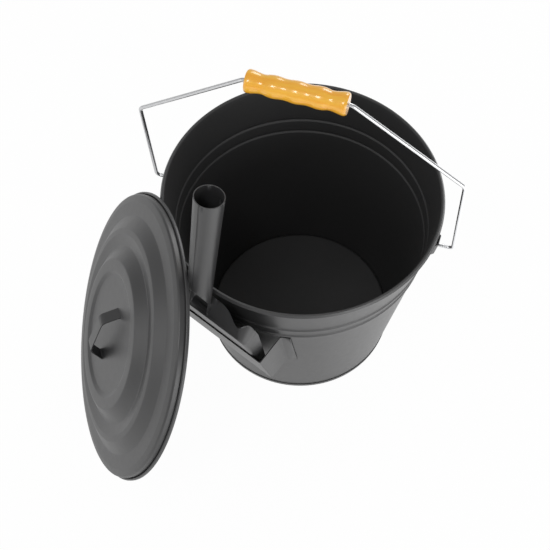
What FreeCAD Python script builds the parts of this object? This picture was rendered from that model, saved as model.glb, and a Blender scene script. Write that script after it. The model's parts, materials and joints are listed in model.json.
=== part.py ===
import FreeCAD, Part
import math
import os

from FreeCAD import Placement, Rotation, Vector

# Sheet thicknesses
bucket_sheet = 0.7
base_sheet = 0.7
lid_sheet = 0.7
strap_sheet = 1.0
pocket_sheet = 1.0
ear_sheet = 1.2
shovel_sheet = 1.0

# Clearances
seam_gap = 0.1
wall_gap = 0.3
wire_play = 0.25
rim_wire_play = 0.4
grip_play = 0.25
lid_rim_play = 0.7
strap_slit_play = 0.3
shovel_pocket_play = 0.6

# Bucket
bucket_height = 244.0
rim_radius = 148.0
rim_wire_radius = 1.2
foot_radius = 104.2
foot_lift = 0.8
bead_heights = (176.0, 193.0)
bead_width = 5.0
bead_depth = 1.3
bead_bend = 0.9
floor_height = 4.8
floor_edge_bend = 2.6
base_hem_height = 5.5

# Ears, one at each side of the bucket
ear_height = 211.4
ear_reach = 8.2
ear_face_half = 6.0
ear_root_half = 11.0
ear_foot_half = 26.0
ear_strap_height = 18.0
ear_bend = 2.6

# Bail
bail_lean = 7.13
bail_wire_radius = 2.0
bail_leg_offset = 165.7
bail_leg_height = 136.1
bail_top_height = 234.9
bail_arm_inner = 52.0
bail_corner_bend = 9.0
bail_end_bend = 5.0
bail_end_inset = 3.5
bail_head_radius = 3.4
bail_head_length = 1.6

# Grip, turned from wood
grip_half_length = 48.5
grip_end_radius = 10.2
grip_flare_radius = 11.2
grip_flare_inset = 2.2
grip_shoulder_radius = 10.9
grip_shoulder_inset = 7.0
grip_waist_radius = 9.4
grip_waist_inset = 16.0
grip_bulge_radius = 10.75
grip_bulge_spacing = 21.5
grip_groove_radius = 10.1

# Lid, heights over the middle of its rolled edge
lid_edge_bend = 1.5
lid_panel_radius = 63.5
lid_panel_height = 25.5
lid_crest_height = 27.9
lid_crest_inner = 68.0
lid_crest_outer = 80.5
lid_tier_inner = 95.0
lid_tier_inner_height = 18.0
lid_tier_crest = 108.0
lid_tier_crest_height = 20.0
lid_tier_outer = 114.0
lid_tier_outer_height = 19.4
lid_brim_inner = 128.0
lid_brim_inner_height = 11.0
lid_brim_outer = 143.5
lid_brim_outer_height = 10.2
lid_shoulder_height = 8.4
lid_press_bend = 4.0
lid_shoulder_bend = 2.4

# Lid's place: leaning on the left, on the floor
lid_lean = 24.52
lid_azimuth = 207.74
lid_centre_x = -141.0
lid_centre_y = -162.4
lid_floor_gap = 0.3

# Lid handle, a bent strap
strap_width = 14.0
strap_feet_half = 35.0
strap_bridge_half = 22.0
strap_rise = 17.0
strap_tab_length = 11.0
strap_bend = 9.0
strap_turn = 100.0

# Pocket for the shovel
pocket_azimuth = -113.03
pocket_top = 171.0
pocket_bottom = 100.0
pocket_reach_top = 154.3
pocket_reach_bottom = 132.2
pocket_half_top = 71.0
pocket_half_bottom = 67.6
pocket_root_top = 67.3
pocket_root_bottom = 66.1
pocket_flange_width = 9.0
pocket_bend = 2.0

# Shovel
pan_back_height = 220.0
pan_length = 145.0
pan_half_width = 61.0
pan_flare = 1.5
pan_ramp = 12.0
pan_wall_height = 19.0
pan_front_depth = 5.0
pan_corner_bend = 10.0
pan_lip_bend = 16.0
pan_floor_bend = 4.0
pan_nose_bend = 22.0
pan_collar_half = 13.0
pan_collar_height = 20.0
pan_lobe_offset = 34.0
pan_lobe_height = 16.3
pan_notch_offset = 49.0
pan_notch_height = 10.5
pan_horn_offset = 57.5
pan_horn_height = 18.6
handle_angle = 27.1
handle_neck = 30.0
handle_length = 143.0
handle_neck_radius = 12.6
handle_top_radius = 15.1
handle_seam = 0.3
handle_mouth_top = 44.0
handle_mouth_side = 22.0
hang_hole_radius = 2.6
hang_hole_inset = 18.0
hang_hole_turn = 32.0

# Bent sheets and wires


def unit(start, end):
    """Direction and length of the straight run from start to end, in the plane."""
    dx = end[0] - start[0]
    dy = end[1] - start[1]
    length = math.hypot(dx, dy)
    return (dx / length, dy / length), length


def crossing(point, along, other, other_along):
    """Point where two straight lines of the plane meet."""
    cross = along[0] * other_along[1] - along[1] * other_along[0]
    gap_x = other[0] - point[0]
    gap_y = other[1] - point[1]
    reach = (gap_x * other_along[1] - gap_y * other_along[0]) / cross
    return (point[0] + reach * along[0], point[1] + reach * along[1])


def shifted_corners(points, shift):
    """The corners of a bent line moved sideways, to its left where shift is positive."""
    runs = [unit(a, b)[0] for a, b in zip(points, points[1:])]
    moved = [(p[0] - shift * d[1], p[1] + shift * d[0]) for p, d in zip(points, runs)]
    corners = [moved[0]]
    for before, after, start, corner in zip(runs, runs[1:], moved, moved[1:]):
        corners.append(crossing(start, before, corner, after))
    last = runs[-1]
    corners.append((points[-1][0] - shift * last[1], points[-1][1] + shift * last[0]))
    return corners


def bent_line(points, bends, shift):
    """Runs and arcs of a bent line moved sideways; bends holds one radius for each inner corner."""
    corners = shifted_corners(points, shift)
    spans = []
    start = corners[0]
    for index, bend in enumerate(bends, 1):
        corner = corners[index]
        before, _ = unit(corners[index - 1], corner)
        after, _ = unit(corner, corners[index + 1])
        cross = before[0] * after[1] - before[1] * after[0]
        dot = before[0] * after[0] + before[1] * after[1]
        turn = math.atan2(cross, dot)
        radius = bend - math.copysign(shift, turn)
        reach = radius * math.tan(abs(turn) / 2)
        enter = (corner[0] - reach * before[0], corner[1] - reach * before[1])
        leave = (corner[0] + reach * after[0], corner[1] + reach * after[1])
        inward, _ = unit(before, after)
        sagitta = radius * (1 / math.cos(turn / 2) - 1)
        middle = (corner[0] + sagitta * inward[0], corner[1] + sagitta * inward[1])
        spans.append((start, enter))
        spans.append((enter, middle, leave))
        start = leave
    spans.append((start, corners[-1]))
    return spans


def span_edges(spans, place):
    """Edges of the runs and arcs, each point put in space by the function place."""
    edges = []
    for span in spans:
        spots = [place(*point) for point in span]
        curve = Part.Arc(*spots) if len(spots) == 3 else Part.LineSegment(*spots)
        edges.append(curve.toShape())
    return edges


def sheet_wire(points, bends, sheet, place):
    """Closed outline of a bent sheet seen on edge, with its middle line on the points."""
    left = bent_line(points, bends, sheet / 2)
    right = bent_line(points, bends, -sheet / 2)
    back = [tuple(reversed(span)) for span in reversed(right)]
    loop = left + [(left[-1][-1], back[0][0])] + back + [(back[-1][-1], left[0][0])]
    return Part.Wire(span_edges(loop, place))


def on_section(radius, height):
    """Point of a turned piece's half section."""
    return Vector(radius, 0, height)


def turned(points, bends, sheet):
    """Round sheet piece, spun about the Z axis from its half section."""
    face = Part.Face(sheet_wire(points, bends, sheet, on_section))
    return face.revolve(Vector(0, 0, 0), Vector(0, 0, 1), 360)


def curl(centre, radius, first_angle, turn):
    """Corners of a rolled edge round a centre, from a first normal and on by quarter turns."""
    normals = []
    for quarter in range(4):
        angle = math.radians(first_angle + turn * 90 * quarter)
        normals.append((math.cos(angle), math.sin(angle)))
    corners = []
    for first, second in zip(normals, normals[1:]):
        across = first[0] + second[0]
        along = first[1] + second[1]
        corners.append((centre[0] + radius * across, centre[1] + radius * along))
    corners.append((centre[0] + radius * normals[3][0], centre[1] + radius * normals[3][1]))
    return corners


curl_roundness = 0.98


def save(shape, node):
    """Writes one node's solid."""
    shape.exportStep("parts/" + node + ".step")


os.makedirs("parts", exist_ok=True)

# Bucket wall, its rolled rim and the wire in it

rim_curl = rim_wire_radius + rim_wire_play + bucket_sheet / 2
rim_centre = (rim_radius, bucket_height - rim_curl - bucket_sheet / 2)
foot_rise = rim_centre[1] - foot_lift
foot_run = rim_centre[0] - foot_radius
foot_to_rim = math.hypot(foot_run, foot_rise)
wall_lean = math.atan2(foot_run, foot_rise) - math.asin(rim_curl / foot_to_rim)
wall_slope = math.tan(wall_lean)


def wall_middle(height):
    """Radius of the middle of the bucket's sheet at a height, beads left out."""
    return foot_radius + wall_slope * (height - foot_lift)


half_wall = bucket_sheet / 2 / math.cos(wall_lean)


def wall_outside(height):
    """Radius of the bucket's outer surface at a height, beads left out."""
    return wall_middle(height) + half_wall


def bead(height):
    """Four corners of one narrow bead, pressed outwards."""
    shape = ((-0.5, 0), (-0.15, 1), (0.15, 1), (0.5, 0))
    corners = []
    for along, out in shape:
        level = height + along * bead_width
        corners.append((wall_middle(level) + out * bead_depth, level))
    return corners


wall_line = [(foot_radius, foot_lift)]
wall_bends = []
for bead_height in bead_heights:
    wall_line += bead(bead_height)
    wall_bends += [bead_bend] * 4
wall_line += curl(rim_centre, rim_curl, 180 - math.degrees(wall_lean), -1)
wall_bends += [rim_curl * curl_roundness] * 3
save(turned(wall_line, wall_bends, bucket_sheet), "bucket_wall")

rim_wire = Part.makeTorus(rim_radius, rim_wire_radius, Vector(0, 0, rim_centre[1]))
save(rim_wire, "rim_wire")

# Bucket base: a flat disc whose edge goes down, under the wall's foot and up outside it

hem_offset = (bucket_sheet / 2 + seam_gap + base_sheet / 2) / math.cos(wall_lean)
floor_middle = floor_height - base_sheet / 2
hem_bottom = base_sheet / 2
base_line = [
    (0, floor_middle),
    (wall_middle(floor_middle) - hem_offset, floor_middle),
    (wall_middle(hem_bottom) - hem_offset, hem_bottom),
    (wall_middle(hem_bottom) + hem_offset, hem_bottom),
    (wall_middle(base_hem_height) + hem_offset, base_hem_height),
]
hem_bend = base_sheet / 2 + seam_gap
save(turned(base_line, [floor_edge_bend, hem_bend, hem_bend], base_sheet), "bucket_base")

# Ears: a strap with a raised middle, whose hole holds the bail's end


def in_plan(distance, across):
    """Point in plan, at the foot of a strap that stands on the bucket."""
    return Vector(distance, across, 0)


def on_wall(across, height, sheet):
    """Point in plan of the middle of a sheet that lies on the bucket's wall."""
    radius = wall_outside(height) + wall_gap + sheet / 2
    return (math.sqrt(radius ** 2 - across ** 2), across)


def ear():
    """The ear on the +X side."""
    low = ear_height - ear_strap_height / 2
    face = wall_outside(ear_height) + ear_reach - ear_sheet / 2 - wall_slope * ear_strap_height / 2
    half = [
        on_wall(ear_foot_half, low, ear_sheet),
        on_wall(ear_root_half, low, ear_sheet),
        (face, ear_face_half),
    ]
    line = [(out, -across) for out, across in half] + list(reversed(half))
    outline = sheet_wire(line, [ear_bend] * 4, ear_sheet, in_plan)
    outline.translate(Vector(0, 0, low))
    rise = Vector(wall_slope * ear_strap_height, 0, ear_strap_height)
    strap = Part.Face(outline).extrude(rise)
    hole_start = Vector(rim_radius / 2, 0, ear_height)
    hole = Part.makeCylinder(bail_wire_radius + wire_play, rim_radius, hole_start, Vector(1, 0, 0))
    return strap.cut(hole)


right_ear = ear()
save(right_ear, "ear_right")
left_ear = right_ear.copy()
left_ear.rotate(Vector(0, 0, 0), Vector(0, 0, 1), 180)
save(left_ear, "ear_left")

# Bail: one bent wire with a flattened head at each end, and the wooden grip on its middle

bail_place = Placement(Vector(0, 0, ear_height), Rotation(Vector(1, 0, 0), bail_lean))
bail_tip = wall_outside(ear_height) + bail_end_inset
bail_half = [
    (bail_tip, 0),
    (bail_leg_offset, 0),
    (bail_leg_offset, bail_leg_height),
    (bail_arm_inner, bail_top_height),
]
bail_line = [(-x, z) for x, z in bail_half] + list(reversed(bail_half))
bail_bends = [bail_end_bend] + [bail_corner_bend] * 4 + [bail_end_bend]
bail_path = Part.Wire(span_edges(bent_line(bail_line, bail_bends, 0), on_section))
wire_circle = Part.Circle(Vector(-bail_tip, 0, 0), Vector(1, 0, 0), bail_wire_radius)
wire_section = Part.Wire([wire_circle.toShape()])
bail_wire = bail_path.makePipeShell([wire_section], True, True)
for side in (-1, 1):
    head_start = Vector(side * bail_tip, 0, 0)
    head = Part.makeCylinder(bail_head_radius, bail_head_length, head_start, Vector(side, 0, 0))
    bail_wire = bail_wire.fuse(head)
bail_wire.Placement = bail_place
save(bail_wire.removeSplitter(), "bail_wire")

grip_half = [
    (grip_half_length, grip_end_radius),
    (grip_half_length - grip_flare_inset, grip_flare_radius),
    (grip_half_length - grip_shoulder_inset, grip_shoulder_radius),
    (grip_half_length - grip_waist_inset, grip_waist_radius),
    (grip_bulge_spacing, grip_bulge_radius),
    (grip_bulge_spacing / 2, grip_groove_radius),
]
grip_side = [(-x, r) for x, r in grip_half] + [(0, grip_bulge_radius)] + list(reversed(grip_half))
grip_curve = Part.BSplineCurve()
grip_curve.interpolate([Vector(x, 0, r) for x, r in grip_side])
bore_radius = bail_wire_radius + grip_play
bore_corners = [
    Vector(grip_half_length, 0, grip_end_radius),
    Vector(grip_half_length, 0, bore_radius),
    Vector(-grip_half_length, 0, bore_radius),
    Vector(-grip_half_length, 0, grip_end_radius),
]
grip_edges = [grip_curve.toShape()]
for first, second in zip(bore_corners, bore_corners[1:]):
    grip_edges.append(Part.LineSegment(first, second).toShape())
grip_face = Part.Face(Part.Wire(grip_edges))
grip = grip_face.revolve(Vector(0, 0, 0), Vector(1, 0, 0), 360)
grip.translate(Vector(0, 0, bail_top_height))
grip.Placement = bail_place.multiply(grip.Placement)
save(grip, "bail_grip")

# Lid: a stepped pressing with a rolled edge, and a bent strap as its handle

lid_skirt = rim_radius + rim_curl + bucket_sheet / 2 + lid_rim_play + lid_sheet / 2
lid_roll_radius = lid_skirt + lid_edge_bend
lid_line = [
    (0, lid_panel_height),
    (lid_panel_radius, lid_panel_height),
    (lid_crest_inner, lid_crest_height),
    (lid_crest_outer, lid_crest_height),
    (lid_tier_inner, lid_tier_inner_height),
    (lid_tier_crest, lid_tier_crest_height),
    (lid_tier_outer, lid_tier_outer_height),
    (lid_brim_inner, lid_brim_inner_height),
    (lid_brim_outer, lid_brim_outer_height),
    (lid_skirt, lid_shoulder_height),
]
lid_line += curl((lid_roll_radius, 0), lid_edge_bend, 180, 1)
lid_bends = [lid_press_bend] * 8 + [lid_shoulder_bend] + [lid_edge_bend * curl_roundness] * 3
lid = turned(lid_line, lid_bends, lid_sheet)

lean = math.radians(lid_lean)
azimuth = math.radians(lid_azimuth)
lid_normal = Vector(math.cos(lean) * math.cos(azimuth), math.cos(lean) * math.sin(azimuth), math.sin(lean))
lid_across = Vector(-math.sin(azimuth), math.cos(azimuth), 0)
lid_up = lid_normal.cross(lid_across)
lid_rise = lid_roll_radius * math.cos(lean) + lid_edge_bend + lid_sheet / 2 + lid_floor_gap
lid_centre = Vector(lid_centre_x, lid_centre_y, lid_rise)
lid_place = Placement(lid_centre, Rotation(lid_across, lid_up, lid_normal, "ZXY"))

tab_height = lid_panel_height - lid_sheet / 2 - seam_gap - strap_slit_play - strap_sheet / 2
strap_half = [
    (strap_feet_half - strap_tab_length, tab_height),
    (strap_feet_half, tab_height),
    (strap_bridge_half, lid_panel_height + strap_rise),
]
strap_line = [(-x, z) for x, z in strap_half] + list(reversed(strap_half))
strap_bends = [strap_sheet, strap_bend, strap_bend, strap_sheet]


def strap_solid(play):
    """The strap, with some play added all round, across the middle of the lid."""
    section = Part.Face(sheet_wire(strap_line, strap_bends, strap_sheet + 2 * play, on_section))
    width = strap_width + 2 * play
    solid = section.extrude(Vector(0, width, 0))
    solid.translate(Vector(0, -width / 2, 0))
    solid.rotate(Vector(0, 0, 0), Vector(0, 0, 1), strap_turn)
    return solid


strap = strap_solid(0)
lid = lid.cut(strap_solid(strap_slit_play))
lid.Placement = lid_place.multiply(lid.Placement)
strap.Placement = lid_place.multiply(strap.Placement)
save(lid, "lid")
save(strap, "lid_handle")

# Pocket: a bent sheet that stands off the bucket and holds the shovel


def pocket_outline(height, reach, half, root):
    """The pocket's outline at one height, in plan, facing +X."""
    half_line = [
        on_wall(root + pocket_flange_width, height, pocket_sheet),
        on_wall(root, height, pocket_sheet),
        (reach - pocket_sheet / 2, half - pocket_sheet / 2),
    ]
    line = [(out, -across) for out, across in half_line] + list(reversed(half_line))
    outline = sheet_wire(line, [pocket_bend] * 4, pocket_sheet, in_plan)
    outline.translate(Vector(0, 0, height))
    return outline


pocket_sections = [
    pocket_outline(pocket_bottom, pocket_reach_bottom, pocket_half_bottom, pocket_root_bottom),
    pocket_outline(pocket_top, pocket_reach_top, pocket_half_top, pocket_root_top),
]
pocket = Part.makeLoft(pocket_sections, True, True)
pocket.rotate(Vector(0, 0, 0), Vector(0, 0, 1), pocket_azimuth)
save(pocket, "shovel_pocket")

# Shovel: pan and rolled handle pressed from one sheet. X across, Y into the pan, Z up the handle


def in_floor(across, along):
    """Point of the pan's floor, on its outer face."""
    return Vector(across, 0, along)


def spread_box(corners):
    """Prism across the whole shovel, from corners given as (depth, along)."""
    reach = 2 * pan_half_width
    spots = [Vector(-reach, depth, along) for depth, along in corners]
    return Part.Face(Part.makePolygon(spots + spots[:1])).extrude(Vector(2 * reach, 0, 0))


pan_over = 1.4 * pan_wall_height
pan_front = -pan_length - pan_nose_bend


def pan_outline(depth, inset):
    """Outline of the pan at a depth over its floor, flared and rounded at the back corners."""
    share = depth / pan_wall_height
    half = pan_half_width + share * pan_flare - inset
    back = share * pan_ramp - inset
    bend = pan_corner_bend + share * (pan_lip_bend - pan_corner_bend) - inset
    line = [(-half, pan_front), (-half, back), (half, back), (half, pan_front)]
    spans = bent_line(line, [bend, bend], 0) + [(line[3], line[0])]
    outline = Part.Wire(span_edges(spans, in_floor))
    outline.translate(Vector(0, depth, 0))
    return outline


def pan_block(inset):
    """Solid that fills the pan, with its faces moved in by inset and its lower edges rounded."""
    block = Part.makeLoft([pan_outline(inset, inset), pan_outline(pan_over, inset)], True, True)
    lower = []
    for edge in block.Edges:
        depths = [vertex.Point.y for vertex in edge.Vertexes] + [edge.CenterOfMass.y]
        level = max(abs(depth - inset) for depth in depths) < shovel_sheet / 10
        if level and edge.CenterOfMass.z > pan_front + shovel_sheet:
            lower.append(edge)
    return block.makeFillet(pan_floor_bend - inset, lower)


nose_half = pan_half_width + pan_flare * pan_over / pan_wall_height
nose_back = 2 * pan_ramp
nose_line = [
    (-nose_half, nose_back),
    (-nose_half, -pan_length),
    (nose_half, -pan_length),
    (nose_half, nose_back),
]
nose_spans = bent_line(nose_line, [pan_nose_bend, pan_nose_bend], 0) + [(nose_line[3], nose_line[0])]
nose = Part.Face(Part.Wire(span_edges(nose_spans, in_floor))).extrude(Vector(0, pan_over, 0))

# Lobes of the pan's back edge, seen along the handle: a collar, a notch and a horn on each side
lobe_half = [
    (pan_half_width + pan_lip_bend, pan_horn_height),
    (pan_half_width, pan_horn_height),
    (pan_horn_offset, pan_horn_height),
    (pan_notch_offset, pan_notch_height),
    (pan_lobe_offset, pan_lobe_height),
    (pan_collar_half, pan_collar_height),
]
lobe_spots = [Vector(-x, y, -pan_length) for x, y in lobe_half]
lobe_spots += [Vector(x, y, -pan_length) for x, y in reversed(lobe_half)]
lobe_curve = Part.BSplineCurve()
lobe_curve.interpolate(lobe_spots)
lobe_feet = [
    lobe_spots[-1],
    Vector(lobe_spots[-1].x, 0, -pan_length),
    Vector(lobe_spots[0].x, 0, -pan_length),
    lobe_spots[0],
]
lobe_edges = [lobe_curve.toShape()]
for first, second in zip(lobe_feet, lobe_feet[1:]):
    lobe_edges.append(Part.LineSegment(first, second).toShape())
lobes = Part.Face(Part.Wire(lobe_edges)).extrude(Vector(0, 0, pan_length + nose_back))
side_corners = [
    (0, nose_back),
    (pan_over, nose_back),
    (pan_over, 0),
    (pan_wall_height, -pan_corner_bend),
    (pan_front_depth, pan_nose_bend - pan_length),
    (pan_front_depth, pan_front),
    (0, pan_front),
]
pan = pan_block(0).cut(pan_block(shovel_sheet))
for limit in (nose, lobes, spread_box(side_corners)):
    pan = pan.common(limit)

handle_slope = (handle_top_radius - handle_neck_radius) / handle_length
handle_reach = handle_neck + handle_length
handle_foot_radius = handle_neck_radius - handle_slope * handle_neck
handle_room = 2 * handle_top_radius


def handle_cone(inset):
    """Solid cone of the handle, with its foot at the origin and inset by a thickness."""
    return Part.makeCone(handle_foot_radius - inset, handle_top_radius - inset, handle_reach)


handle = handle_cone(0).cut(handle_cone(shovel_sheet))
seam = Part.makeBox(handle_seam, handle_room, handle_reach)
seam.translate(Vector(-handle_seam / 2, -handle_room, 0))
hole_turn = math.radians(hang_hole_turn)
hole_along = Vector(math.sin(hole_turn), math.cos(hole_turn), 0)
hole_centre = Vector(0, 0, handle_reach - hang_hole_inset)
hang_hole = Part.makeCylinder(hang_hole_radius, handle_room, hole_centre, hole_along)
mouth_fall = (handle_mouth_top - handle_mouth_side) * handle_room / handle_neck_radius
mouth_corners = [
    (-handle_room, 0),
    (0, 0),
    (0, handle_mouth_side),
    (-handle_room, handle_mouth_side + mouth_fall),
]
handle = handle.cut(Part.makeCompound([seam, hang_hole]))
handle = handle.cut(spread_box(mouth_corners))
handle.rotate(Vector(0, 0, 0), Vector(1, 0, 0), -handle_angle)
handle.translate(Vector(0, shovel_sheet / 2, 0))
ramp_share = pan_ramp / pan_wall_height
below_corners = [
    (-handle_room, -handle_room),
    (-handle_room, 2 * handle_room),
    (0, 2 * handle_room),
    (0, 0),
    (2 * handle_room, 2 * handle_room * ramp_share),
    (2 * handle_room, -handle_room),
]
handle = handle.cut(spread_box(below_corners))
shovel = pan.fuse(handle).removeSplitter()

pocket_lean = math.atan2(pocket_reach_top - pocket_reach_bottom, pocket_top - pocket_bottom)
pocket_turn = math.radians(pocket_azimuth)
pocket_out = Vector(math.cos(pocket_turn), math.sin(pocket_turn), 0)
pan_across = Vector(-math.sin(pocket_turn), math.cos(pocket_turn), 0)
pan_up = pocket_out * math.sin(pocket_lean) + Vector(0, 0, math.cos(pocket_lean))
pan_inward = Vector(0, 0, math.sin(pocket_lean)) - pocket_out * math.cos(pocket_lean)
plate_reach = pocket_reach_top + math.tan(pocket_lean) * (pan_back_height - pocket_top)
plate_depth = pocket_sheet + shovel_pocket_play / math.cos(pocket_lean)
pan_spot = pocket_out * (plate_reach - plate_depth) + Vector(0, 0, pan_back_height)
shovel.Placement = Placement(pan_spot, Rotation(pan_across, pan_inward, pan_up, "ZXY"))
save(shovel, "shovel")
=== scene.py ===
import json
import math

import bpy
from bpy.props import FloatProperty, FloatVectorProperty, IntProperty, PointerProperty
from mathutils import Matrix, Vector


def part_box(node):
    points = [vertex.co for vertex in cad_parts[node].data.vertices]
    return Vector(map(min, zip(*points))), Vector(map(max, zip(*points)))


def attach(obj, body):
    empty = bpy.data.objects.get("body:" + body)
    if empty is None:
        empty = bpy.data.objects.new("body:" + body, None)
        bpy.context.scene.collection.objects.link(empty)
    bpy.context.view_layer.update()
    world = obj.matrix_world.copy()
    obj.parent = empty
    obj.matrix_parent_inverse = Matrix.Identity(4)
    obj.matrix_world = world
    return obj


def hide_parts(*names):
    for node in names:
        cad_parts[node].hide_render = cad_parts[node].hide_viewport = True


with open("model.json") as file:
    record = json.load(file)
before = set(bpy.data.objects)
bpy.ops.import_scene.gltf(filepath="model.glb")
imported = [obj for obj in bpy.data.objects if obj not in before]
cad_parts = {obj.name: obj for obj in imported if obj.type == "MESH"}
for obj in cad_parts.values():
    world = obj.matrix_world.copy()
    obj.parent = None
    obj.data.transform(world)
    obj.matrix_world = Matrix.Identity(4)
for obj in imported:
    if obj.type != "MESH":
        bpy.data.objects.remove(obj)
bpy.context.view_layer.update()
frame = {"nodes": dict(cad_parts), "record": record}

bl_info = {
    "name": "Ash bucket with shovel",
    "version": (1, 0, 0),
    "blender": (4, 5, 0),
    "location": "3D View > Sidebar > Ash bucket",
    "description": "Finishes the ash bucket, its bail, lid and shovel, and sets the stage",
    "category": "Object",
}

# Pieces that only need a coat
coated_nodes = ("ear_left", "ear_right", "shovel_pocket", "lid_handle", "shovel")

# Meshes: lengths in metres
upright = Vector((0, 0, 1))
spin_steps = 180
merge_gap = 0.000005
section_merge_gap = 0.00002
round_smoothing = math.radians(30)
sheet_smoothing = math.radians(32)
drawn_smoothing = math.radians(35)
rim_wire_smoothing = math.radians(40)

# A face of the bucket that turns this far to its axis is inside
inward_facing = -0.3
inside_roughness = 0.6

# Most values of a noise texture lie between these two
noise_low = 0.3
noise_high = 0.7

# Turned profile of the grip, in metres
grip_rings = 79
grip_bulges = 3
grip_end_round = 0.0022
grip_end_drop = 0.0012
grip_waist_inset = 0.016
grip_waist_fade = 0.006
ring_digits = 5
end_facing = 0.99
end_corners = 8
bore_margin = 1.2

# Stage, in metres: each lamp's name, place and size
lamps = (
    ("high", (-0.30, -1.10, 1.85), 0.45),
    ("back", (0.3, 1.9, 1.3), 0.9),
    ("front", (1.6, -1.3, 0.6), 0.9),
    ("side", (-1.5, -0.9, 0.85), 0.9),
)
lamp_target = Vector((0, -0.03, 0.2))
floor_drop = 0.0002
floor_colour = (0.92, 0.92, 0.92, 1)
floor_roughness = 0.9
floor_shine = 0.1
camera_place = (0.2024, -0.7505, 1.3631)
camera_right = (0.95492, 0.29687, 0)
camera_back = (0.1535, -0.4938, 0.8559)
camera_roll = -0.0052
sensor_width = 36


class BucketFinish(bpy.types.PropertyGroup):
    """Colours and finishes of the set."""

    coat_colour: FloatVectorProperty(
        name="Coat", description="Powder coat on the outside", subtype="COLOR", size=4,
        default=(0.031, 0.031, 0.032, 1), min=0, max=1,
    )
    coat_light: FloatVectorProperty(
        name="Coat, rubbed", description="Paler patches of the coat", subtype="COLOR", size=4,
        default=(0.033, 0.033, 0.034, 1), min=0, max=1,
    )
    coat_roughness: FloatProperty(
        name="Coat roughness", description="How matt the coat is", subtype="FACTOR",
        default=0.42, min=0, max=1,
    )
    coat_shine: FloatProperty(
        name="Coat shine", description="How strongly the coat mirrors its surround", subtype="FACTOR",
        default=0.8, min=0, max=1,
    )
    # Inside: a matt coat, its colour darker than the outer coat as painted shade inside the bucket
    inside_shade_colour: FloatVectorProperty(
        name="Inside", description="Matt black inside the bucket", subtype="COLOR", size=4,
        default=(0.019, 0.019, 0.0195, 1), min=0, max=1,
    )
    floor_reach: FloatProperty(
        name="Floor reach", description="Radius of the bottom disc seen inside", unit="LENGTH",
        default=0.1035,
    )
    floor_level: FloatProperty(
        name="Floor level", description="Faces of the bottom disc above this are inside", unit="LENGTH",
        default=0.002,
    )
    zinc_colour: FloatVectorProperty(
        name="Zinc", description="Bright wire", subtype="COLOR", size=4,
        default=(0.62, 0.625, 0.635, 1), min=0, max=1,
    )
    wood_colour: FloatVectorProperty(
        name="Wood", description="Varnished wood", subtype="COLOR", size=4,
        default=(1.0, 0.53, 0.042, 1), min=0, max=1,
    )
    grain_colour: FloatVectorProperty(
        name="Grain", description="Darker grain of the wood", subtype="COLOR", size=4,
        default=(0.97, 0.43, 0.026, 1), min=0, max=1,
    )


class GripSizes(bpy.types.PropertyGroup):
    """Sizes of the turned grip."""

    length: FloatProperty(
        name="Length", description="End to end", unit="LENGTH", default=0.097, min=0.05, max=0.2,
    )
    bore: FloatProperty(
        name="Bore", description="Radius of the hole for the wire", unit="LENGTH", default=0.00225,
    )
    waist: FloatProperty(
        name="Waist", description="Radius next to the flared ends", unit="LENGTH", default=0.0093,
    )
    bulge: FloatProperty(
        name="Bulge", description="Radius of the bulges", unit="LENGTH", default=0.0108,
    )
    groove: FloatProperty(
        name="Groove", description="Radius between the bulges", unit="LENGTH", default=0.0099,
    )
    flare: FloatProperty(
        name="Flare", description="Radius of the flared ends", unit="LENGTH", default=0.0112,
    )
    facets: IntProperty(
        name="Facets", description="Corners round the grip", default=56, min=16, max=128,
    )


class BailSizes(bpy.types.PropertyGroup):
    """Sizes of the bent wire bail."""

    wire: FloatProperty(
        name="Wire", description="Radius of the wire", unit="LENGTH", default=0.002,
    )
    lean: FloatProperty(
        name="Lean", description="How far the bail leans", subtype="ANGLE", default=math.radians(7.13),
    )
    hinge: FloatProperty(
        name="Hinge", description="Height of the holes in the ears", unit="LENGTH", default=0.2114,
    )
    tip: FloatProperty(
        name="Tip", description="Half the distance between the ends", unit="LENGTH", default=0.14524,
    )
    leg: FloatProperty(
        name="Leg", description="Half the distance between the legs", unit="LENGTH", default=0.1657,
    )
    leg_height: FloatProperty(
        name="Leg height", description="Hinge to the leg's bend", unit="LENGTH", default=0.1361,
    )
    arm: FloatProperty(
        name="Arm", description="Half the straight part in the grip", unit="LENGTH", default=0.052,
    )
    top: FloatProperty(
        name="Top", description="Hinge to the grip", unit="LENGTH", default=0.2349,
    )
    corner_bend: FloatProperty(
        name="Corner bend", description="Radius of the four upper bends", unit="LENGTH", default=0.009,
    )
    end_bend: FloatProperty(
        name="End bend", description="Radius of the bends at the ears", unit="LENGTH", default=0.005,
    )
    head_radius: FloatProperty(
        name="Head", description="Radius of the flattened ends", unit="LENGTH", default=0.0034,
    )
    head_length: FloatProperty(
        name="Head length", description="Thickness of the flattened ends", unit="LENGTH", default=0.0016,
    )
    facets: IntProperty(
        name="Facets", description="Corners round the wire", default=32, min=8, max=96,
    )
    bend_steps: IntProperty(
        name="Bend steps", description="Steps in each bend", default=12, min=3, max=48,
    )


class LidSizes(bpy.types.PropertyGroup):
    """Place of the leaning lid."""

    centre: FloatVectorProperty(
        name="Centre", description="Middle of the lid's edge, on its axis", subtype="XYZ",
        unit="LENGTH", size=3, default=(-0.141, -0.1624, 0.141215),
    )


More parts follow.
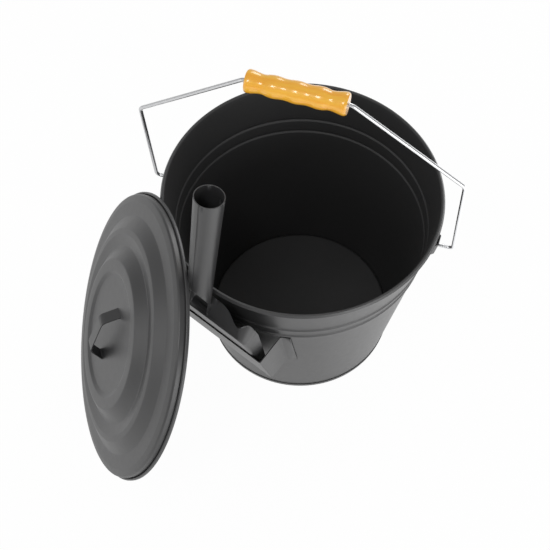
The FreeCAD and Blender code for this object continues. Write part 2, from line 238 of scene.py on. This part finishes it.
class StageSizes(bpy.types.PropertyGroup):
    """Camera, lamps and floor."""

    lens: FloatProperty(
        name="Lens", description="Focal length in millimetres", default=84.47, min=20, max=200,
    )
    high_power: FloatProperty(
        name="High", description="Power of the small lamp behind the camera", unit="POWER", default=7.6,
    )
    front_power: FloatProperty(
        name="Front", description="Power of the lamp at the front right", unit="POWER", default=10,
    )
    back_power: FloatProperty(
        name="Back", description="Power of the lamp behind the bucket", unit="POWER", default=13,
    )
    side_power: FloatProperty(
        name="Side", description="Power of the lamp on the left", unit="POWER", default=3.5,
    )
    world_strength: FloatProperty(
        name="Surround", description="Strength of the surround", default=0.45, min=0, max=2,
    )
    floor_white: FloatProperty(
        name="Floor white", description="How white the floor is to the camera",
        default=0.975, min=0, max=1,
    )
    floor_mirrored: FloatProperty(
        name="Floor mirrored", description="How white the floor is in reflections",
        default=0.91, min=0, max=1,
    )
    glow: FloatProperty(
        name="Glow", description="How much brighter the floor mirrors on the right", default=0.9, min=0,
    )
    glow_start: FloatProperty(
        name="Glow start", description="Where the glow starts", unit="LENGTH", default=0.06,
    )
    glow_end: FloatProperty(
        name="Glow end", description="Where the glow is full", unit="LENGTH", default=0.34,
    )
    floor_half: FloatProperty(
        name="Floor", description="Half the floor's width", unit="LENGTH", default=6.0,
    )


def finish():
    """The colours and finishes."""
    return bpy.context.scene.bucket_finish


def select_only(obj):
    """Makes one object the only one selected, and the active one."""
    bpy.ops.object.select_all(action="DESELECT")
    obj.select_set(True)
    bpy.context.view_layer.objects.active = obj


def material(name):
    """A new material with a Principled shader; returns it, its tree and the shader."""
    made = bpy.data.materials.new(name)
    made.use_nodes = True
    return made, made.node_tree, made.node_tree.nodes["Principled BSDF"]


def noise(tree, scale, detail, stretch=(1, 1, 1)):
    """Noise on the piece's own coordinates; returns its value."""
    place = tree.nodes.new("ShaderNodeTexCoord")
    mapping = tree.nodes.new("ShaderNodeMapping")
    mapping.inputs["Scale"].default_value = stretch
    texture = tree.nodes.new("ShaderNodeTexNoise")
    texture.inputs["Scale"].default_value = scale
    texture.inputs["Detail"].default_value = detail
    tree.links.new(place.outputs["Object"], mapping.inputs["Vector"])
    tree.links.new(mapping.outputs["Vector"], texture.inputs["Vector"])
    return texture.outputs["Fac"]


def tint(tree, shader, source, stops):
    """Colours the shader by a texture's value; the two stops are (position, colour)."""
    node = tree.nodes.new("ShaderNodeValToRGB")
    for element, (position, colour) in zip(node.color_ramp.elements, stops):
        element.position = position
        element.color = colour
    tree.links.new(source, node.inputs["Fac"])
    tree.links.new(node.outputs["Color"], shader.inputs["Base Color"])


def roughen(tree, shader, source, low, high):
    """Spreads the shader's roughness between two numbers by a texture's value."""
    node = tree.nodes.new("ShaderNodeMapRange")
    node.inputs["From Min"].default_value = noise_low
    node.inputs["From Max"].default_value = noise_high
    node.inputs["To Min"].default_value = low
    node.inputs["To Max"].default_value = high
    tree.links.new(source, node.inputs["Value"])
    tree.links.new(node.outputs["Result"], shader.inputs["Roughness"])


def bump(tree, shader, source, strength, distance):
    """Bump from a texture's value, on the shader's normal."""
    node = tree.nodes.new("ShaderNodeBump")
    node.inputs["Strength"].default_value = strength
    node.inputs["Distance"].default_value = distance
    tree.links.new(source, node.inputs["Height"])
    tree.links.new(node.outputs["Normal"], shader.inputs["Normal"])


def powder_coat(name, colour, rubbed, roughness):
    """Satin powder coat: a fine orange-peel skin with faint cloudy patches."""
    made, tree, shader = material(name)
    cloud = noise(tree, scale=22, detail=4)
    peel = noise(tree, scale=1400, detail=2)
    scuff = noise(tree, scale=140, detail=5)
    scuffing = 0.015
    tint(tree, shader, cloud, [(0.35, colour), (0.68, rubbed)])
    roughen(tree, shader, scuff, low=roughness - scuffing, high=roughness + scuffing)
    bump(tree, shader, peel, strength=0.25, distance=0.0001)
    shader.inputs["Specular IOR Level"].default_value = finish().coat_shine
    return made


def outer_coat(name):
    """The grey coat that the whole set has on the outside."""
    look = finish()
    return powder_coat(name, look.coat_colour, look.coat_light, look.coat_roughness)


def zinc(name, colour):
    """Bright zinc on drawn wire, with a fine spangle."""
    made, tree, shader = material(name)
    shader.inputs["Metallic"].default_value = 1
    spangle = noise(tree, scale=300, detail=3)
    scratch = noise(tree, scale=2500, detail=2)
    gain = 1.08
    paler = tuple(min(1, part * gain) for part in colour[:3]) + (1,)
    tint(tree, shader, spangle, [(noise_low, colour), (noise_high, paler)])
    roughen(tree, shader, spangle, low=0.28, high=0.36)
    bump(tree, shader, scratch, strength=0.05, distance=0.00001)
    return made


def varnished_wood(name, colour, grain):
    """Turned wood under a glossy orange varnish, its grain along the grip."""
    made, tree, shader = material(name)
    streak = noise(tree, scale=260, detail=5, stretch=(0.06, 1, 1))
    pores = noise(tree, scale=1500, detail=2, stretch=(0.05, 1, 1))
    tint(tree, shader, streak, [(0.34, grain), (0.62, colour)])
    roughen(tree, shader, streak, low=0.26, high=0.34)
    bump(tree, shader, pores, strength=0.04, distance=0.00004)
    shader.inputs["Coat Weight"].default_value = 0.8
    shader.inputs["Coat Roughness"].default_value = 0.1
    return made


def dressed_copy(node, finishes, smoothing):
    """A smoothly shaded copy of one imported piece, in its place, that stands for it."""
    source = frame["nodes"][node]
    copy = source.copy()
    copy.data = source.data.copy()
    copy.parent = None
    copy.matrix_world = source.matrix_world
    copy.name = node + "_dressed"
    bpy.context.collection.objects.link(copy)
    select_only(copy)
    bpy.ops.object.transform_apply(location=True, rotation=True, scale=True)
    bpy.ops.object.mode_set(mode="EDIT")
    bpy.ops.mesh.select_all(action="SELECT")
    bpy.ops.mesh.remove_doubles(threshold=merge_gap)
    bpy.ops.object.mode_set(mode="OBJECT")
    bpy.ops.object.shade_smooth_by_angle(angle=smoothing)
    copy.data.materials.clear()
    for made in finishes:
        copy.data.materials.append(made)
    return copy


def spun_copy(node, finishes, centre, axis, side):
    """A clean copy of a round piece: its section on one side of its axis, spun round that axis."""
    piece = dressed_copy(node, finishes, round_smoothing)
    bpy.ops.object.mode_set(mode="EDIT")
    bpy.ops.mesh.select_all(action="SELECT")
    bpy.ops.mesh.bisect(plane_co=centre, plane_no=axis.cross(side), clear_inner=True, clear_outer=True)
    bpy.ops.mesh.select_all(action="SELECT")
    bpy.ops.mesh.bisect(plane_co=centre, plane_no=side, clear_inner=True)
    bpy.ops.mesh.select_all(action="SELECT")
    bpy.ops.mesh.remove_doubles(threshold=section_merge_gap)
    bpy.ops.mesh.spin(steps=spin_steps, angle=2 * math.pi, center=centre, axis=axis)
    bpy.ops.mesh.select_all(action="SELECT")
    bpy.ops.mesh.remove_doubles(threshold=merge_gap)
    bpy.ops.mesh.normals_make_consistent(inside=False)
    bpy.ops.object.mode_set(mode="OBJECT")
    bpy.ops.object.shade_smooth_by_angle(angle=round_smoothing)
    return piece


def body_with(node):
    """Name of the body that carries a node."""
    for body, nodes in frame["record"]["behaviour"]["bodies"].items():
        if node in nodes:
            return body
    raise RuntimeError("no body carries " + node)


def axis_of(joint_name):
    """Direction of a joint in the record."""
    for joint in frame["record"]["behaviour"]["joints"]:
        if joint["name"] == joint_name:
            return Vector(joint["axis"]).normalized()
    raise RuntimeError("no joint " + joint_name)


def put_on(obj, node):
    """Lets a finished piece stand for a node: it joins the node's body and hides the node."""
    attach(obj, body_with(node))
    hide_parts(node)


class ASH_OT_bucket(bpy.types.Operator):
    """Spins the bucket's wall and base, grey outside; inside a matt coat, darkened as painted shade"""

    bl_idname = "ash.bucket"
    bl_label = "Bucket wall and base"

    def execute(self, context):
        look = finish()
        outside = outer_coat("bucket_coat")
        # The inside faces get the darker coat: painted shade inside the bucket
        inside = powder_coat("bucket_inside", look.inside_shade_colour, look.inside_shade_colour, inside_roughness)
        for node in ("bucket_wall", "bucket_base"):
            piece = spun_copy(node, (outside, inside), Vector(), upright, Vector((0, 1, 0)))
            for face in piece.data.polygons:
                face.material_index = int(self.is_inside(face, node, look))
            put_on(piece, node)
        return {"FINISHED"}

    @staticmethod
    def is_inside(face, node, look):
        """Whether a face of the wall or the base is inside the bucket."""
        across = Vector((face.center.x, face.center.y, 0))
        above = node == "bucket_base" and face.center.z > look.floor_level
        if above and across.length < look.floor_reach:
            return True
        return across.length > 0 and face.normal.dot(across.normalized()) < inward_facing


class ASH_OT_sheet(bpy.types.Operator):
    """Coats the ears, the pocket, the lid's handle and the shovel"""

    bl_idname = "ash.sheet"
    bl_label = "Coated sheet pieces"

    def execute(self, context):
        coat = outer_coat("sheet_coat")
        for node in coated_nodes:
            put_on(dressed_copy(node, (coat,), sheet_smoothing), node)
        return {"FINISHED"}


class ASH_OT_lid(bpy.types.Operator):
    """Spins the lid's pressing round its own axis"""

    bl_idname = "ash.lid"
    bl_label = "Lid"

    def execute(self, context):
        centre = Vector(context.scene.lid_sizes.centre)
        normal = axis_of("lid_lift")
        across = upright.cross(normal).normalized()
        lid = spun_copy("lid", (outer_coat("lid_coat"),), centre, normal, across)
        put_on(lid, "lid")
        return {"FINISHED"}


class ASH_OT_wire(bpy.types.Operator):
    """Bends the bail from bright wire and finishes the wire in the rim"""

    bl_idname = "ash.wire"
    bl_label = "Bail and rim wire"

    def execute(self, context):
        bright = zinc("bright_zinc", finish().zinc_colour)
        put_on(dressed_copy("rim_wire", (bright,), rim_wire_smoothing), "rim_wire")
        bail = self.bail(context.scene.bail_sizes)
        bail.data.materials.append(bright)
        put_on(bail, "bail_wire")
        return {"FINISHED"}

    @staticmethod
    def draw_out(step):
        """Extrudes the chosen ring by a step."""
        bpy.ops.mesh.extrude_region_move(TRANSFORM_OT_translate={"value": tuple(step)})

    @staticmethod
    def widen(share, centre):
        """Scales the chosen ring across the hinge line."""
        bpy.ops.transform.resize(value=(1, share, share), center_override=centre)

    @staticmethod
    def corners(sizes):
        """Corners of the wire's middle line, from one end to the other."""
        along = Vector((1, 0, 0))
        rise = Vector((0, -math.sin(sizes.lean), math.cos(sizes.lean)))
        hinge = Vector((0, 0, sizes.hinge))
        half = [(sizes.tip, 0), (sizes.leg, 0), (sizes.leg, sizes.leg_height), (sizes.arm, sizes.top)]
        line = [hinge - along * out + rise * height for out, height in half]
        line += [hinge + along * out + rise * height for out, height in reversed(half)]
        return line

    def bail(self, sizes):
        """Draws the wire along its bends, from one flattened head to the other."""
        line = self.corners(sizes)
        bends = [sizes.end_bend] + [sizes.corner_bend] * 4 + [sizes.end_bend]
        bpy.ops.object.select_all(action="DESELECT")
        bpy.ops.mesh.primitive_circle_add(
            vertices=sizes.facets, radius=sizes.head_radius, location=line[0], rotation=(0, math.pi / 2, 0),
        )
        bail = bpy.context.active_object
        bail.name = "bail_drawn"
        bpy.ops.object.transform_apply(location=True, rotation=True, scale=True)
        bpy.ops.object.mode_set(mode="EDIT")
        bpy.ops.mesh.select_all(action="SELECT")
        head = Vector((sizes.head_length, 0, 0))
        neck = sizes.wire / sizes.head_radius
        place = line[0] - head
        self.draw_out(-head)
        self.draw_out((0, 0, 0))
        self.widen(neck, place)
        for before, corner, after, bend in zip(line, line[1:], line[2:], bends):
            heading = (corner - before).normalized()
            leaving = (after - corner).normalized()
            turn = heading.angle(leaving)
            reach = bend * math.tan(turn / 2)
            centre = corner + (leaving - heading).normalized() * bend / math.cos(turn / 2)
            bend_axis = heading.cross(leaving)
            self.draw_out(corner - heading * reach - place)
            bpy.ops.mesh.spin(steps=sizes.bend_steps, angle=-turn, center=centre, axis=bend_axis)
            place = corner + leaving * reach
        last = line[-1] + head
        self.draw_out(last - place)
        self.draw_out((0, 0, 0))
        self.widen(1 / neck, last)
        self.draw_out(-head)
        bpy.ops.mesh.select_all(action="SELECT")
        bpy.ops.mesh.fill_holes(sides=0)
        bpy.ops.mesh.normals_make_consistent(inside=False)
        bpy.ops.object.mode_set(mode="OBJECT")
        bpy.ops.object.shade_smooth_by_angle(angle=drawn_smoothing)
        return bail


class ASH_OT_grip(bpy.types.Operator):
    """Turns the wooden grip and bores it for the wire"""

    bl_idname = "ash.grip"
    bl_label = "Wooden grip"

    def execute(self, context):
        sizes = context.scene.grip_sizes
        low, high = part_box("bail_grip")
        centre = (Vector(low) + Vector(high)) / 2
        grip = self.ringed_bar(sizes, centre)
        self.turn(grip, sizes, centre)
        self.bore(grip, sizes, centre)
        bpy.ops.object.shade_smooth_by_angle(angle=drawn_smoothing)
        wood = varnished_wood("orange_varnish", finish().wood_colour, finish().grain_colour)
        grip.data.materials.append(wood)
        put_on(grip, "bail_grip")
        return {"FINISHED"}

    @staticmethod
    def ringed_bar(sizes, centre):
        """A round bar along the wire, cut into rings."""
        bpy.ops.object.select_all(action="DESELECT")
        bpy.ops.mesh.primitive_cylinder_add(
            vertices=sizes.facets, radius=sizes.flare, depth=sizes.length, end_fill_type="NGON",
            location=centre, rotation=(0, math.pi / 2, 0),
        )
        grip = bpy.context.active_object
        grip.name = "grip_turned"
        bpy.ops.object.transform_apply(location=True, rotation=True, scale=True)
        bpy.ops.object.mode_set(mode="EDIT")
        bpy.ops.mesh.select_mode(type="EDGE")
        bpy.ops.mesh.select_all(action="DESELECT")
        bpy.ops.object.mode_set(mode="OBJECT")
        for edge in grip.data.edges:
            first, second = (grip.data.vertices[index].co for index in edge.vertices)
            edge.select = abs(first.x - second.x) > sizes.length / 2
        bpy.ops.object.mode_set(mode="EDIT")
        bpy.ops.mesh.subdivide(number_cuts=grip_rings)
        bpy.ops.mesh.select_mode(type="VERT")
        bpy.ops.object.mode_set(mode="OBJECT")
        return grip

    def turn(self, grip, sizes, centre):
        """Brings each ring to the radius of the turned profile."""
        rings = {}
        for vertex in grip.data.vertices:
            rings.setdefault(round(vertex.co.x, ring_digits), []).append(vertex.index)
        for level, indices in rings.items():
            bpy.ops.object.mode_set(mode="EDIT")
            bpy.ops.mesh.select_all(action="DESELECT")
            bpy.ops.object.mode_set(mode="OBJECT")
            for index in indices:
                grip.data.vertices[index].select = True
            bpy.ops.object.mode_set(mode="EDIT")
            scale = self.radius_at(level, sizes) / sizes.flare
            bpy.ops.transform.resize(value=(1, scale, scale), center_override=(level, centre.y, centre.z))
            bpy.ops.object.mode_set(mode="OBJECT")

    @staticmethod
    def ease(share):
        """A share from 0 to 1, eased at both ends."""
        return 0.5 - 0.5 * math.cos(math.pi * share)

    def radius_at(self, level, sizes):
        """Radius of the turned profile at a distance along the grip."""
        half = sizes.length / 2
        inset = half - abs(level)
        if inset < grip_end_round:
            return sizes.flare - grip_end_drop * (1 - inset / grip_end_round) ** 2
        if inset < grip_waist_inset:
            share = (inset - grip_end_round) / (grip_waist_inset - grip_end_round)
            return sizes.flare + (sizes.waist - sizes.flare) * self.ease(share)
        spacing = (half - grip_waist_inset) / (grip_bulges / 2)
        wave = 0.5 + 0.5 * math.cos(2 * math.pi * level / spacing)
        radius = sizes.groove + (sizes.bulge - sizes.groove) * wave
        fade = min(1, (inset - grip_waist_inset) / grip_waist_fade)
        return sizes.waist + (radius - sizes.waist) * self.ease(fade)

    @staticmethod
    def bore(grip, sizes, centre):
        """Opens the hole along the grip between its two end faces."""
        bpy.ops.object.mode_set(mode="EDIT")
        bpy.ops.mesh.select_all(action="DESELECT")
        bpy.ops.mesh.select_mode(type="FACE")
        bpy.ops.object.mode_set(mode="OBJECT")
        for face in grip.data.polygons:
            face.select = abs(face.normal.x) > end_facing and len(face.vertices) > end_corners
        bpy.ops.object.mode_set(mode="EDIT")
        rim = sizes.flare - grip_end_drop - sizes.bore
        bpy.ops.mesh.inset(thickness=rim, use_boundary=True, use_even_offset=True)
        bpy.ops.mesh.delete(type="ONLY_FACE")
        bpy.ops.mesh.select_mode(type="EDGE")
        bpy.ops.object.mode_set(mode="OBJECT")
        for edge in grip.data.edges:
            spots = [grip.data.vertices[index].co for index in edge.vertices]
            reach = [math.hypot(spot.y - centre.y, spot.z - centre.z) for spot in spots]
            edge.select = max(reach) < sizes.bore * bore_margin
        bpy.ops.object.mode_set(mode="EDIT")
        bpy.ops.mesh.bridge_edge_loops()
        bpy.ops.mesh.select_all(action="SELECT")
        bpy.ops.mesh.normals_make_consistent(inside=False)
        bpy.ops.mesh.select_mode(type="VERT")
        bpy.ops.object.mode_set(mode="OBJECT")


class ASH_OT_stage(bpy.types.Operator):
    """Sets the pale floor, the soft lamps, the surround and the camera"""

    bl_idname = "ash.stage"
    bl_label = "Stage"

    def execute(self, context):
        stage = context.scene.stage_sizes
        context.scene.view_settings.view_transform = "Standard"
        self.floor(stage)
        self.surround(stage)
        for name, place, size in lamps:
            self.lamp(name, place, getattr(stage, name + "_power"), size)
        self.camera(stage)
        return {"FINISHED"}

    @staticmethod
    def whiteness(tree, to_camera, to_mirror):
        """How white the floor is to the camera, and in a mirror-like surface; 0 to other rays."""
        path = tree.nodes.new("ShaderNodeLightPath")
        larger = tree.nodes.new("ShaderNodeMath")
        larger.operation = "MAXIMUM"
        rays = (("Is Camera Ray", to_camera), ("Is Glossy Ray", to_mirror))
        for socket, (ray, share) in zip(larger.inputs, rays):
            part = tree.nodes.new("ShaderNodeMath")
            part.operation = "MULTIPLY"
            part.inputs[1].default_value = share
            tree.links.new(path.outputs[ray], part.inputs[0])
            tree.links.new(part.outputs[0], socket)
        return larger.outputs[0]

    @staticmethod
    def right_glow(tree, stage):
        """Strength of the floor's white: plain to the camera, rising to the right in reflections."""
        place = tree.nodes.new("ShaderNodeTexCoord")
        parts = tree.nodes.new("ShaderNodeSeparateXYZ")
        rise = tree.nodes.new("ShaderNodeMapRange")
        rise.inputs["From Min"].default_value = stage.glow_start
        rise.inputs["From Max"].default_value = stage.glow_end
        rise.inputs["To Min"].default_value = 0
        rise.inputs["To Max"].default_value = stage.glow
        path = tree.nodes.new("ShaderNodeLightPath")
        strength = tree.nodes.new("ShaderNodeMath")
        strength.operation = "MULTIPLY_ADD"
        strength.inputs[2].default_value = 1
        tree.links.new(place.outputs["Object"], parts.inputs["Vector"])
        tree.links.new(parts.outputs["X"], rise.inputs["Value"])
        tree.links.new(rise.outputs["Result"], strength.inputs[0])
        tree.links.new(path.outputs["Is Glossy Ray"], strength.inputs[1])
        return strength.outputs[0]

    def floor(self, stage):
        """Pale floor, white to the camera apart from the shadow."""
        bpy.ops.object.select_all(action="DESELECT")
        bpy.ops.mesh.primitive_plane_add(size=2 * stage.floor_half, location=(0, 0, -floor_drop))
        floor = bpy.context.active_object
        floor.name = "floor"
        made, tree, shader = material("pale_floor")
        shader.inputs["Base Color"].default_value = floor_colour
        shader.inputs["Roughness"].default_value = floor_roughness
        shader.inputs["Specular IOR Level"].default_value = floor_shine
        white = tree.nodes.new("ShaderNodeEmission")
        tree.links.new(self.right_glow(tree, stage), white.inputs["Strength"])
        mix = tree.nodes.new("ShaderNodeMixShader")
        tree.links.new(self.whiteness(tree, stage.floor_white, stage.floor_mirrored), mix.inputs["Fac"])
        tree.links.new(shader.outputs["BSDF"], mix.inputs[1])
        tree.links.new(white.outputs["Emission"], mix.inputs[2])
        tree.links.new(mix.outputs["Shader"], tree.nodes["Material Output"].inputs["Surface"])
        floor.data.materials.append(made)

    @staticmethod
    def surround(stage):
        """White surround to the camera, softer light on the object."""
        world = bpy.data.worlds.new("surround")
        bpy.context.scene.world = world
        world.use_nodes = True
        tree = world.node_tree
        back = tree.nodes["Background"]
        back.inputs["Color"].default_value = (1, 1, 1, 1)
        strength = tree.nodes.new("ShaderNodeMapRange")
        strength.inputs["To Min"].default_value = stage.world_strength
        strength.inputs["To Max"].default_value = 1
        path = tree.nodes.new("ShaderNodeLightPath")
        tree.links.new(path.outputs["Is Camera Ray"], strength.inputs["Value"])
        tree.links.new(strength.outputs["Result"], back.inputs["Strength"])

    @staticmethod
    def lamp(name, place, power, size):
        """One soft square lamp that faces the bucket."""
        turn = (lamp_target - Vector(place)).to_track_quat("-Z", "Y").to_euler()
        bpy.ops.object.light_add(type="AREA", location=place, rotation=turn)
        lamp = bpy.context.active_object
        lamp.name = name + "_lamp"
        lamp.data.energy = power
        lamp.data.size = size

    @staticmethod
    def camera(stage):
        """Camera at the photograph's viewing angle."""
        level = Vector(camera_right)
        back = Vector(camera_back).normalized()
        plumb = back.cross(level)
        right = level * math.cos(camera_roll) + plumb * math.sin(camera_roll)
        up = plumb * math.cos(camera_roll) - level * math.sin(camera_roll)
        bpy.ops.object.camera_add()
        camera = bpy.context.active_object
        camera.name = "camera"
        turn = Matrix((right, up, back)).transposed().to_4x4()
        camera.matrix_world = Matrix.Translation(camera_place) @ turn
        camera.data.lens = stage.lens
        camera.data.sensor_width = sensor_width
        bpy.context.scene.camera = camera


class ASH_PT_panel(bpy.types.Panel):
    """Lists the steps that finish the set"""

    bl_idname = "ASH_PT_panel"
    bl_label = "Ash bucket"
    bl_space_type = "VIEW_3D"
    bl_region_type = "UI"
    bl_category = "Ash bucket"

    def draw(self, context):
        for step in operators:
            self.layout.operator(step.bl_idname)
        for group, kind in groups:
            for name in kind.__annotations__:
                self.layout.prop(getattr(context.scene, group), name)


operators = (ASH_OT_bucket, ASH_OT_sheet, ASH_OT_lid, ASH_OT_wire, ASH_OT_grip, ASH_OT_stage)
groups = (
    ("bucket_finish", BucketFinish),
    ("bail_sizes", BailSizes),
    ("grip_sizes", GripSizes),
    ("lid_sizes", LidSizes),
    ("stage_sizes", StageSizes),
)


def register():
    for name, group in groups:
        bpy.utils.register_class(group)
        setattr(bpy.types.Scene, name, PointerProperty(type=group))
    for step in operators:
        bpy.utils.register_class(step)
    bpy.utils.register_class(ASH_PT_panel)


def unregister():
    bpy.utils.unregister_class(ASH_PT_panel)
    for step in reversed(operators):
        bpy.utils.unregister_class(step)
    for name, group in reversed(groups):
        delattr(bpy.types.Scene, name)
        bpy.utils.unregister_class(group)


def main():
    """Runs every step in order."""
    register()
    bpy.ops.ash.bucket()
    bpy.ops.ash.sheet()
    bpy.ops.ash.lid()
    bpy.ops.ash.wire()
    bpy.ops.ash.grip()
    bpy.ops.ash.stage()


if __name__ == "__main__":
    main()
